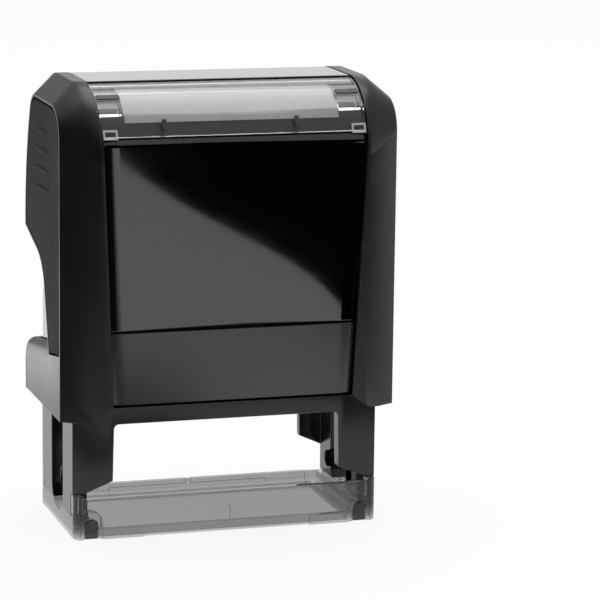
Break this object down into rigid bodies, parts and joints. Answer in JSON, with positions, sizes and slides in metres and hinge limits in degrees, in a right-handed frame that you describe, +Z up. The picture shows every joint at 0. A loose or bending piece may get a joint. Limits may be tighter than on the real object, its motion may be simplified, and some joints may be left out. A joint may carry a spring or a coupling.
{
  "type": "self-inking stamp",
  "caption": "Self-inking stamp with a smoky clear base, black sprung cap, soft side grips, clear index window and a printing plate that turns over as the cap is pressed",
  "frame": {"origin": "On the table, under the middle of the base", "axes": "+Z up, -Y is the front with the index window, +X is to the right seen from the front"},
  "size_m": [0.0668, 0.0404, 0.0868],
  "materials": {
    "smoke_clear": "smoky clear plastic, polished",
    "black_matte": "black, fine satin grain",
    "black_gloss": "black, high gloss",
    "dark_grey": "charcoal, satin",
    "soft_grip": "charcoal grey, soft touch",
    "clear_window": "clear plastic",
    "white_card": "white paper card",
    "spring_wire": "drawn steel wire",
    "carriage_black": "black, satin",
    "foam": "pale foam",
    "stamp_rubber": "red-brown stamp rubber",
    "tray_black": "black, satin",
    "ink_felt": "felt soaked in dark ink"
  },
  "bodies": {
    "frame": {"base": "smoke_clear", "frame": "black_matte", "spring": "spring_wire"},
    "cap": {"cap_shell": "black_matte", "front_plate": "black_gloss", "front_band": "dark_grey", "back_plate": "black_gloss", "top_plate": "black_gloss", "index_card": "white_card", "left_grip": "soft_grip", "right_grip": "soft_grip"},
    "die_carriage": {"carriage": "carriage_black", "die_foam": "foam", "rubber_die": "stamp_rubber"},
    "ink_cartridge": {"ink_tray": "tray_black", "ink_pad": "ink_felt"},
    "window": {"index_window": "clear_window"}
  },
  "joints": [
    {"name": "cap_press", "type": "slide", "parent": "frame", "child": "cap", "axis": [0, 0, -1], "range_m": [0, 0.022], "stiffness_N_per_m": 800, "springref_m": -0.012, "deforming": ["spring"]},
    {"name": "die_flip", "type": "hinge", "parent": "cap", "child": "die_carriage", "pos_m": [0, 0, 0.0293], "axis": [1, 0, 0], "range_deg": [0, 180]},
    {"name": "cartridge_slide", "type": "slide", "parent": "frame", "child": "ink_cartridge", "axis": [0, 1, 0], "range_m": [0, 0.034]},
    {"name": "window_lift", "type": "slide", "parent": "cap", "child": "window", "axis": [0, -0.5878, 0.809], "range_m": [0, 0.008]}
  ],
  "couplings": [
    {"joint": "die_flip", "follows": "cap_press", "rad_per_m": 142.8}
  ]
}
